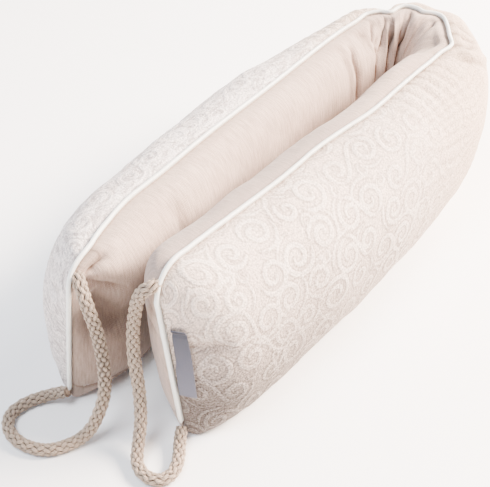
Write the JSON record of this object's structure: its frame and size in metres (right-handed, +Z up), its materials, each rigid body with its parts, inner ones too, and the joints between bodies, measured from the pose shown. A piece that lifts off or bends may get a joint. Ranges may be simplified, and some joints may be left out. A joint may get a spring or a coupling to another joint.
{
  "type": "draught excluder",
  "caption": "Long filled cloth draught excluder bent to a U on the floor, with a velour outer panel, piped seam, rope loop handles at its ends and a blank side label.",
  "frame": {"origin": "middle of the base, on the floor, of the box around the cloth body, piping and label without the ropes", "axes": "+Z up, +Y along the arms towards the closed end of the U, +X across the arms, from the label's arm's far side: the arm at -X is the longer one and the label's arm ends at +X"},
  "size_m": [0.2016, 0.4837, 0.1404],
  "materials": {
    "brushed_cotton": "matt brushed cotton, plain peach-beige",
    "embossed_velour": "soft short-pile velour in ivory-beige with a raised scroll pattern",
    "ivory_satin": "glossy ivory satin piping",
    "braided_cotton": "matt beige braided cotton rope",
    "woven_label_satin": "silver-white woven satin ribbon, blank"
  },
  "bodies": {
    "root": {"filled_body": "brushed_cotton", "outer_panel": "embossed_velour", "piping": "ivory_satin", "rope_handle_right": "braided_cotton", "rope_handle_left": "braided_cotton", "label": "woven_label_satin"}
  },
  "joints": []
}
